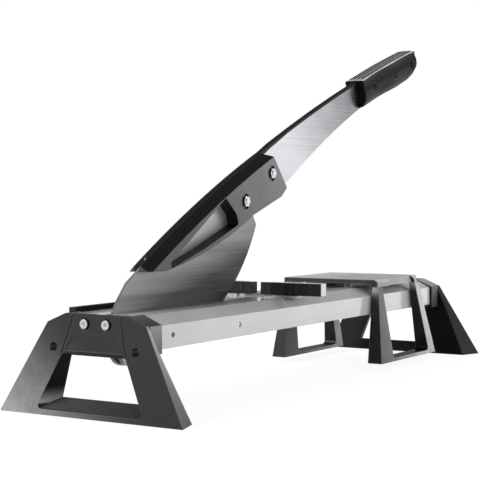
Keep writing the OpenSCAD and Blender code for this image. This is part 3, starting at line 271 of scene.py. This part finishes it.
rear_nylon = moulded_nylon("black_glass_filled_nylon_rear_foot", "#060707", [
    # rear: painted light, paler towards the lower right
    ((0.988, 0, 0.155), 0.9, "#1c1d1e", "#8a8b8c", DOWN_RIGHT, -0.065, 0.065),
    # slanted right side: painted shade, near black and a little paler upwards
    ((-0.285, -0.854, 0.436), 0.94, "#060707", "#1c1d1e", UP, 0.0, 0.1),
    # right side of the sleeve: painted light, paler upwards
    ((0, -1, 0), 0.94, "#3c3d3e", "#8e8f90", UP, 0.05, 0.10),
    # right slope between the sleeve's shoulder and crown: painted light, paler leftwards
    ((0, -0.391, 0.92), 0.94, "#8c8d8e", "#dcddde", LEFTWARD, -0.09, 0.0),
], rough=0.45, specular=0.2)
holder_nylon = moulded_nylon("black_glass_filled_nylon_blade_holder", "#0c0d0e", [
    # broad right face: painted light, paler up the lever
    ((0, -1, 0), 0.9, "#505153", "#838485", UP_THE_LEVER, 0.16, 0.37),
], rough=0.42)
top_nylon = moulded_nylon("black_glass_filled_nylon_support_top", "#202122", [
    # table: painted light, paler leftwards
    ((0, 0, 1), 0.94, "#b0b1b2", "#f0f0f0", LEFTWARD, -0.04, 0.08),
    # rounded right shoulder: painted highlight, paler rearwards
    ((0, -0.7, 0.7), 0.75, "#d0d1d2", "#f0f0f0", REARWARD, 0.2, 0.8),
    # edge and walls that look right: painted light, paler rearwards
    ((0, -1, 0), 0.9, "#8a8b8c", "#c8c9ca", REARWARD, 0.2, 0.6),
], rough=0.34, edge_highlight_and_rub="#d9dadb", specular=0.5)
leg_nylon = moulded_nylon("black_glass_filled_nylon_support_leg", "#0c0d0e", [
    # broad right side, drafted on the right leg: painted light, paler rearwards
    ((0, -0.993, 0.116), 0.95, "#5a5b5c", "#f4f4f4", REARWARD, 0.38, 0.56),
    # fronts of both posts, near the top: painted highlight at the top over near-black shade
    ((-0.99, 0, 0.138), 0.9, "#0c0d0e", "#e4e5e6", UP, 0.080, 0.091),
], rough=0.42, edge_highlight_and_rub="#9b9c9d")
grip_nylon = moulded_nylon("black_polished_nylon_handle", "#060607", [
    # back and shoulders: painted highlight, paler rearwards
    ((-0.3, -0.3, 0.9), 0.84, "#b4b5b6", "#f2f2f2", REARWARD, 0.3, 0.65),
], rough=0.3, edge_highlight_and_rub="#2a2b2c", specular=0.15, grit=0.01)

# Painted light: rails and fence paler rearwards, the bar paler towards the nose
rail_aluminium = drawn_aluminium("satin_anodised_aluminium_rail", "#f4f5f6", "#c9cacc", metallic=0.3, rough=0.14,
                                 slope=REARWARD, low=-0.6, high=0.9)
fence_aluminium = drawn_aluminium("satin_anodised_aluminium_fence", "#f4f5f6", "#cfd0d2", metallic=0.4, rough=0.2,
                                  slope=REARWARD, low=-0.6, high=0.9)
bar_aluminium = drawn_aluminium("satin_anodised_aluminium_bar", "#e2e3e5", "#707174", metallic=1.0, rough=0.22,
                                slope=TO_THE_NOSE, low=-0.62, high=-0.42)
# Painted shade: the blade darker towards its cutting edge; the steel plates painted paler rearwards
blade_steel = brushed_steel("hardened_steel_ground_blade", "#d0d1d3", "#262728", metallic=0.4, rough=0.3,
                            turn=BLADE_GRINDING_TURN, slope=OFF_THE_EDGE, low=0.07, high=0.16)
ground_steel = brushed_steel("ground_steel_plate", "#c4c6c8", "#8f9194", metallic=0.8, rough=0.26,
                             turn=NO_TURN, slope=REARWARD, low=-1, high=1)
zinc = plated("bright_zinc_plated_steel", "#e4e6e8", rough=0.2)
black_screw = plated("black_oxide_steel_screw", "#1b1b1c", rough=0.4)
bronze = plated("sintered_bronze", "#a88a55", rough=0.4)
rubber = soft_rubber("moulded_black_rubber", "#0e0e0f", "#181919")
# Paler raised lines on the fence face and the grip's back are painted highlight
fence_rubber = soft_rubber("black_rubber_fence_face", "#0e0e0f", "#181919",
                           ridge="#404142", pitch=16.8, start=-16.6, width=0.8)
grip = soft_rubber("ribbed_grey_elastomer", "#101011", "#1c1c1d",
                   ridge="#8e8f90", pitch=5.1, start=-0.5, width=2.8)

FINISH = {
    "front_foot": foot_nylon, "rear_foot": rear_nylon, "right_holder": holder_nylon, "left_holder": holder_nylon,
    "right_handle_shell": grip_nylon, "left_handle_shell": grip_nylon, "support_top": top_nylon,
    "right_support_leg": leg_nylon, "left_support_leg": leg_nylon,
    "right_rail": rail_aluminium, "left_rail": rail_aluminium, "lever_bar": bar_aluminium,
    "right_fence_rail": fence_aluminium, "left_fence_rail": fence_aluminium,
    "rail_ties": ground_steel, "right_cheek": ground_steel, "left_cheek": ground_steel,
    "fence_plate_slide": ground_steel, "counter_blade": ground_steel, "blade": blade_steel,
    "front_foot_screws": zinc, "rear_foot_screws": zinc, "counter_blade_screws": zinc, "cheek_screws": zinc,
    "hinge_pin": zinc, "hinge_nut": zinc, "holder_bolts": zinc, "holder_nuts": zinc, "handle_screws": black_screw,
    "fence_rivets": zinc, "fence_guide_screws": zinc,
    "front_foot_pads": rubber, "rear_foot_pads": rubber, "edge_strip": rubber, "fence_strips": fence_rubber,
    "handle_pad": grip, "thrust_washers": bronze, "blade_bush": bronze,
}
for node_name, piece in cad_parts.items():
    piece.data.materials.clear()
    piece.data.materials.append(FINISH[node_name])


# Pieces that the plain solids lack

def ringed_piece(name, rings, material, turned=False, sharp=None):
    """Closed, smoothly shaded mesh through rings of points in metres, with a face over the first ring and the last.
    Turned is for rings that run the other way round, so that the faces still look outwards. Edges that bend by more
    than the sharp angle, in degrees, stay sharp."""
    rows, columns = rings.shape[:2]
    i, j = np.meshgrid(np.arange(rows - 1), np.arange(columns), indexing="ij")
    here = (i * columns + j).ravel()
    beside = (i * columns + (j + 1) % columns).ravel()
    quads = np.stack([here, beside, beside + columns, here + columns], 1).tolist()
    ends = [list(range(columns))[::-1], list(range((rows - 1) * columns, rows * columns))]
    mesh = bpy.data.meshes.new(name)
    mesh.from_pydata(rings.reshape(-1, 3).tolist(), [], quads + ends)
    mesh.materials.append(material)
    mesh.validate()
    mesh.shade_smooth()
    if turned:
        mesh.flip_normals()
    if sharp:
        mesh.set_sharp_from_angle(angle=np.radians(sharp))
    made = bpy.data.objects.new(name, mesh)
    bpy.context.scene.collection.objects.link(made)
    return made


def rounded(x, knots, values, reach, count):
    """Straight lines through knots, rounded by averaging count values of them within the reach on either side."""
    return np.mean([np.interp(np.clip(x + step, knots[0], knots[-1]), knots, values)
                    for step in np.linspace(-reach, reach, count)], 0)


def squarish_ring(count, power):
    """Count points round a superellipse of half size 1: cosine and sine, each raised to a power with its sign kept."""
    angle = np.linspace(0, 2 * np.pi, count + 1)[:-1]
    round_ring = np.stack([np.cos(angle), np.sin(angle)], -1)
    return np.sign(round_ring) * np.abs(round_ring) ** power


HANDLE_ORIGIN = (494.5, 316.89)
HANDLE_SLOPE = np.radians(18.5)
HANDLE_LENGTH = 159.3
LEVER_MIDDLE = -0.5
# Places along the handle are shares of its length, and sizes are in millimetres
CROWN_HEIGHT, CROWN_RISE, CROWN_FALL, CROWN_END_SHARE = 16.6, 1.3, 12.0, 0.955
BELLY_SHARES = (0, 0.12, 0.26, 0.39, 0.60, 0.80, 0.90, 0.97, 1.0)
BELLY_HEIGHTS = (-16.8, -16.6, -16.2, -16.2, -17.4, -16.8, -13.8, -7.6, 2.0)
THINNEST = 0.4

# Half a section of the grip, from its back over the shoulder and the bulge to its belly, in shares of half its size
SECTION_SHARES = (0, 0.16, 0.27, 0.30, 0.36, 0.46, 0.56, 0.66, 0.76, 0.88, 1.0)
SECTION_ACROSS = (0, 0.60, 0.90, 0.915, 0.86, 0.90, 0.985, 1.0, 0.93, 0.62, 0.0)
SECTION_UP = (1.0, 0.99, 0.955, 0.90, 0.72, 0.45, 0.14, -0.12, -0.50, -0.90, -1.0)

WAIST_HALF_WIDTH, BULGE = 12.6, 1.4
CLOSING_START_SHARE, LAST_WIDTH_SHARE, CROWDING = 0.93, 0.02, 1.35
LEAN_AT_BELLY, LEAN_AT_CROWN, LEAN_LENGTH_SHARE, LEAN_POWER = -1.0, 3.1, 0.16, 1.5
SCREW_PLACE_SHARES, SCREW_HEIGHT = (0.19, 0.54, 0.87), 0.34
DISH_RADIUS, DISH_RIM, DISH_DEPTH, DISH_FROM_MIDDLE = 4.9, 0.9, 1.5, 5
FRONT_STEP, FRONT_WIDTH_SHARE = 0.5, 0.96
SHARPEST_SMOOTH_GRIP, SHARPEST_SMOOTH_CAP = 38, 30

BACK_START_SHARE, BACK_END_SHARE, BACK_TAPER_SHARE = 0.045, 0.955, 0.03
BACK_HALF_WIDTH, BACK_NARROWING = 9.4, 1.6
RIB_HEIGHT, RIB_WAVES, RIB_BORDER = 0.8, 2, 0.97
BACK_LIFT, BACK_EDGE_DROP, BACK_SINK, BACK_FOOT_SHARE = 0.12, 0.6, 3.0, 0.98


def handle_space(along, across, square):
    """From along, across and square to the handle, in millimetres, to metres in the part's frame."""
    c, s = np.cos(HANDLE_SLOPE), np.sin(HANDLE_SLOPE)
    return np.stack([HANDLE_ORIGIN[0] + along * c - square * s, LEVER_MIDDLE + across,
                     HANDLE_ORIGIN[1] + along * s + square * c], -1) * MM


def handle_crown(x):
    """Height of the handle's back at a share of its length: the front's plus half a sine wave, and a quarter circle's
    fall over the rounded end."""
    fall = np.clip((x - CROWN_END_SHARE) / (1 - CROWN_END_SHARE), 0, 1)
    drop = CROWN_FALL * (1 - np.sqrt(np.clip(1 - fall ** 2, 0, 1)))
    return CROWN_HEIGHT + CROWN_RISE * np.sin(np.pi * np.clip(x, 0, 1)) - drop


def handle_belly(x):
    """Height of the handle's underside: a finger curve through nine places, rising to the rounded end."""
    return rounded(x, BELLY_SHARES, BELLY_HEIGHTS, reach=0.012, count=15)


def handle_shell(name, side):
    """Half of the grip, side -1 right and +1 left. Its sections run along the handle, closer together near the rounded
    end, where their width closes as a quarter circle does. Round a section it goes from the parting plane over a sharp
    shoulder, in under it, out to a bulge at the screws and round the belly; a squared cosine makes it wider at both
    ends and halfway. The front leans back from the belly to the back. Three shallow dishes take the screws."""
    rows, columns = 150, 72
    x = 1 - (1 - np.linspace(0, 1, rows)) ** CROWDING
    x[-1] = 1.0
    t = np.linspace(0, 1, columns)
    out = rounded(t, SECTION_SHARES, SECTION_ACROSS, reach=0.022, count=9)
    up = rounded(t, SECTION_SHARES, SECTION_UP, reach=0.022, count=9)
    out[0], out[-1] = 0.0, 0.0
    closing = np.clip(x - CLOSING_START_SHARE, 0, 1) / (1 - CLOSING_START_SHARE)
    half_width = WAIST_HALF_WIDTH + BULGE * np.cos(2 * np.pi * x) ** 2
    half_width *= np.sqrt(np.clip(1 - closing ** 2, LAST_WIDTH_SHARE ** 2, 1))
    crown = handle_crown(x)
    belly = np.minimum(handle_belly(x), crown - THINNEST)
    across = side * half_width[:, None] * out[None, :]
    square = ((crown + belly) / 2)[:, None] + ((crown - belly) / 2)[:, None] * up[None, :]
    lean = np.interp(up, [-1, 1], [LEAN_AT_BELLY, LEAN_AT_CROWN])[None, :]
    along = x[:, None] * HANDLE_LENGTH + lean * np.clip(1 - x[:, None] / LEAN_LENGTH_SHARE, 0, 1) ** LEAN_POWER
    for share in SCREW_PLACE_SHARES:
        away = np.hypot(along - share * HANDLE_LENGTH, square - SCREW_HEIGHT)
        dish = DISH_DEPTH * np.clip((DISH_RADIUS - away) / DISH_RIM, 0, 1)
        across = across - side * np.where(np.abs(across) > DISH_FROM_MIDDLE, dish, 0)
    rings = np.stack([along, across, square], -1)
    front = rings[0] * [1, FRONT_WIDTH_SHARE, 1] - [FRONT_STEP, 0, 0]
    rings = np.concatenate([front[None], rings], 0)
    return ringed_piece(name, handle_space(*np.moveaxis(rings, -1, 0)), grip_nylon, turned=side > 0,
                        sharp=SHARPEST_SMOOTH_GRIP)


def handle_back():
    """Ribbed elastomer on the grip's back. Its ribs run along it: across, their height is the square root of the size
    of a cosine with two waves, and at both ends it fades by a square root. The strip follows the crown, drops at its
    edges with the fourth power, and sinks into the grip."""
    rows, columns = 70, 61
    x = np.linspace(BACK_START_SHARE, BACK_END_SHARE, rows)
    v = np.linspace(-1, 1, columns)
    taper = np.clip(np.minimum(x - BACK_START_SHARE, BACK_END_SHARE - x) / BACK_TAPER_SHARE, 0, 1) ** 0.5
    crown = handle_crown(x)[:, None]
    rib = RIB_HEIGHT * np.abs(np.cos(RIB_WAVES * np.pi * v)) ** 0.5 * (np.abs(v) < RIB_BORDER)
    along = np.repeat(x[:, None] * HANDLE_LENGTH, columns, 1)
    across = (BACK_HALF_WIDTH - BACK_NARROWING * (1 - taper))[:, None] * v[None, :]
    square = crown + BACK_LIFT - BACK_EDGE_DROP * v[None, :] ** 4 + rib[None, :] * taper[:, None]
    sunk = np.repeat(crown - BACK_SINK, columns, 1)
    top = np.stack([along, across, square], -1)
    under = np.stack([along, across * BACK_FOOT_SHARE, sunk], -1)[:, ::-1]
    rings = np.concatenate([top, under], 1)
    return ringed_piece("ribbed_handle_back", handle_space(*np.moveaxis(rings, -1, 0)), grip, turned=True)


right_grip = handle_shell("right_handle_grip", -1)
left_grip = handle_shell("left_handle_grip", 1)
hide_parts("right_handle_shell")
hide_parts("left_handle_shell")
back = handle_back()
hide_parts("handle_pad")
for piece, slot in ((right_grip, "moulding"), (left_grip, "moulding"), (back, "grip")):
    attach(piece, "lever")

# Top of the trim, about 0.7 to 2 mm over the lever bar's upper edge, from the holder's nose to the handle
TRIM_TOP_X = (72, 108, 140, 172, 204, 236, 268, 283, 292, 310, 330, 350, 370, 390, 410, 430, 450, 470, 490, 501)
TRIM_TOP_Z = (139.7, 160.6, 178.1, 194.8, 210.6, 225.6, 240.0, 247.0, 251.8, 259.5, 268.1, 276.5, 284.8, 292.9,
              300.8, 308.6, 316.2, 323.6, 331.0, 335.0)
# How high the trim is, and half its width, at places along the lever
TRIM_HIGH_X, TRIM_HIGH = (73, 262, 275, 300, 330, 501), (2.6, 2.8, 5.0, 4.4, 3.0, 2.6)
TRIM_WIDE_X, TRIM_HALF_WIDTH = (73, 262, 270, 501), (2.9, 2.9, 3.3, 3.3)
TRIM_START, TRIM_END, TRIM_SECTIONS = 73, 500, 180


def bar_back_trim():
    """Black moulded trim along the bar's back from the holder's nose to the handle: a superellipse carried square to
    the line of its top. Between the holder's halves it closes their gap; past them it clips over the bar, 5 mm high
    by the holder and 2.6 mm by the handle."""
    x = np.linspace(TRIM_START, TRIM_END, TRIM_SECTIONS)
    z = rounded(x, TRIM_TOP_X, TRIM_TOP_Z, reach=5, count=11)
    slope = np.arctan(np.gradient(z, x))[:, None]
    high = np.interp(x, TRIM_HIGH_X, TRIM_HIGH)[:, None]
    half_width = np.interp(x, TRIM_WIDE_X, TRIM_HALF_WIDTH)[:, None]
    out, up = squarish_ring(count=32, power=0.35).T
    across = LEVER_MIDDLE + half_width * out[None, :]
    square = (up[None, :] - 1) / 2 * high
    rings = np.stack([x[:, None] - square * np.sin(slope), across, z[:, None] + square * np.cos(slope)], -1) * MM
    return ringed_piece("bar_back_trim", rings, rubber)


trim = bar_back_trim()
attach(trim, "lever")

# Lowest and highest X and Z of the cap, and where it starts on Y
CAP_LOW, CAP_HIGH = np.array([268.4, 93.5]), np.array([278.2, 106.0])
CAP_FRONT, CAP_THICKNESS, CAP_EASING = 3.85, 0.65, 0.35
# The cap's rings: how deep in its thickness, and how far drawn in, as shares of the easing
CAP_RING_SHARES = ((0.0, 1.0), (0.25, 0.0), (0.75, 0.0), (1.0, 1.0))


def fence_gap_shade_cap(name):
    """Black cap on the inner end of a fence rail, a dark piece that stands for the shade in the gap between the rails:
    a superellipse a little smaller than the end, carried through the cap's thickness, with its rim eased on both
    sides.
    Part of it is sunk into the rail."""
    rim = squarish_ring(count=48, power=1 / 3)
    rings = []
    for depth, drawn in CAP_RING_SHARES:
        x, z = ((CAP_LOW + CAP_HIGH) / 2 + ((CAP_HIGH - CAP_LOW) / 2 - drawn * CAP_EASING) * rim).T
        rings.append(np.stack([x, np.full_like(x, CAP_FRONT + depth * CAP_THICKNESS), z], -1))
    return ringed_piece(name, np.array(rings) * MM, rubber, turned=True, sharp=SHARPEST_SMOOTH_CAP)


# Dark cap standing for the shade in the gap between the fence rails
cap = fence_gap_shade_cap("left_fence_gap_shade_cap")
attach(cap, "fence")


# Floor, light and camera

FLOOR_SPECKLE, FLOOR_GLOW_SHARE = (6, 6, 6), 0.82


def floor_paint():
    """Matt white paint; seen directly it is mostly plain white, so that only the soft shadow darkens it."""
    material, tree, shader, place = finish_named("matt_white_studio_floor", "#f4f4f4", metallic=0.0,
                                                 roughness=0.9, Specular_IOR_Level=0.1)
    speckle = uneven(tree, place, FLOOR_SPECKLE)
    paint = add(tree, "ShaderNodeMix", COLOURS, BLENDED, i0=speckle, i6=tone("#f2f2f2"), i7=tone("#f6f6f6"))
    tree.links.new(paint, shader.inputs["Base Color"])
    glow = add(tree, "ShaderNodeEmission", Color=(1, 1, 1, 1), Strength=1.1)
    direct = add(tree, "ShaderNodeLightPath", out="Is Camera Ray")
    glow_share = add(tree, "ShaderNodeMath", TIMES, i0=direct, i1=FLOOR_GLOW_SHARE)
    mixed = add(tree, "ShaderNodeMixShader", i0=glow_share, i1=shader.outputs[0], i2=glow)
    tree.links.new(mixed, tree.nodes["Material Output"].inputs["Surface"])
    return material


def stage_sheet(name, corners, material):
    """Flat quadrilateral through four corners."""
    mesh = bpy.data.meshes.new(name)
    mesh.from_pydata(corners, [], [(0, 1, 2, 3)])
    mesh.materials.append(material)
    made = bpy.data.objects.new(name, mesh)
    bpy.context.scene.collection.objects.link(made)


# Where the floor ends on both sides, in metres
FLOOR_LOW, FLOOR_HIGH = -40, 60
stage_sheet("studio_floor", [(FLOOR_LOW, FLOOR_LOW, 0), (FLOOR_HIGH, FLOOR_LOW, 0), (FLOOR_HIGH, FLOOR_HIGH, 0),
                             (FLOOR_LOW, FLOOR_HIGH, 0)], floor_paint())

# The air lights plainly at this strength; glossy surfaces mirror a bright horizon under a dimmer ceiling
AIR_STRENGTH, HORIZON, CEILING = 0.42, 1.0, 0.16
HORIZON_ENDS, CEILING_BEGINS = 0.04, 0.36

world = bpy.data.worlds.new("studio_air")
bpy.context.scene.world = world
world.use_nodes = True
air = world.node_tree
ray = add(air, "ShaderNodeLightPath").node.outputs
seen = add(air, "ShaderNodeMath", {"operation": "MAXIMUM"}, i0=ray["Is Camera Ray"], i1=ray["Is Transmission Ray"])
height = share_along(air, add(air, "ShaderNodeTexCoord", out="Generated"), UP, HORIZON_ENDS, CEILING_BEGINS)
mirrored = add(air, "ShaderNodeMix", i0=height, i2=HORIZON, i3=CEILING)
strength = add(air, "ShaderNodeMix", i0=ray["Is Glossy Ray"], i2=AIR_STRENGTH, i3=mirrored)
plain = add(air, "ShaderNodeBackground", Color=tone("#f2f3f5"), Strength=strength)
white = add(air, "ShaderNodeBackground", Color=(1, 1, 1, 1), Strength=1.0)
both = add(air, "ShaderNodeMixShader", i0=seen, i1=plain, i2=white)
air.links.new(both, air.nodes["World Output"].inputs["Surface"])


def set_up(name, device, position, aim):
    """Puts a lamp at a position and turns its -Z to the aim point; its X stays level."""
    away = np.array(position, float) - np.array(aim, float)
    away /= np.linalg.norm(away)
    side = np.cross((0, 0, 1.0), away)
    side /= np.linalg.norm(side)
    up = np.cross(away, side)
    made = bpy.data.objects.new(name, device)
    bpy.context.scene.collection.objects.link(made)
    made.matrix_world = Matrix([[side[i], up[i], away[i], position[i]] for i in range(3)] + [[0, 0, 0, 1]])


front_bank = bpy.data.lights.new("front_left_bank", "SUN")
front_bank.energy = 2.0
front_bank.angle = np.radians(40)
set_up("front_left_bank", front_bank, (-0.74, 0.40, 0.54), (0, 0, 0))

right_bank = bpy.data.lights.new("right_bank", "AREA")
right_bank.shape = "RECTANGLE"
right_bank.size, right_bank.size_y = 1.4, 0.8
right_bank.energy = 14
set_up("right_bank", right_bank, (1.3, -1.7, 0.6), (0.35, 0.0, 0.12))

lens = bpy.data.cameras.new("photo_camera")
lens.sensor_width = 36.0
lens.lens = 101.0034
lens.shift_x, lens.shift_y = -0.0013664, -0.0041780
lens.clip_start = 0.05
camera = bpy.data.objects.new("photo_camera", lens)
bpy.context.scene.collection.objects.link(camera)
# The columns are the camera's right, up and back in the part's frame, and its place in metres
camera.matrix_world = Matrix([
    [0.5384521, 0.0292565, -0.8421481, -0.9383218],
    [-0.8426454, 0.0136510, -0.5382958, -0.7529452],
    [-0.0042525, 0.9994787, 0.0320032, 0.1980543],
    [0, 0, 0, 1],
])
bpy.context.scene.camera = camera
bpy.context.scene.view_settings.view_transform = "Standard"
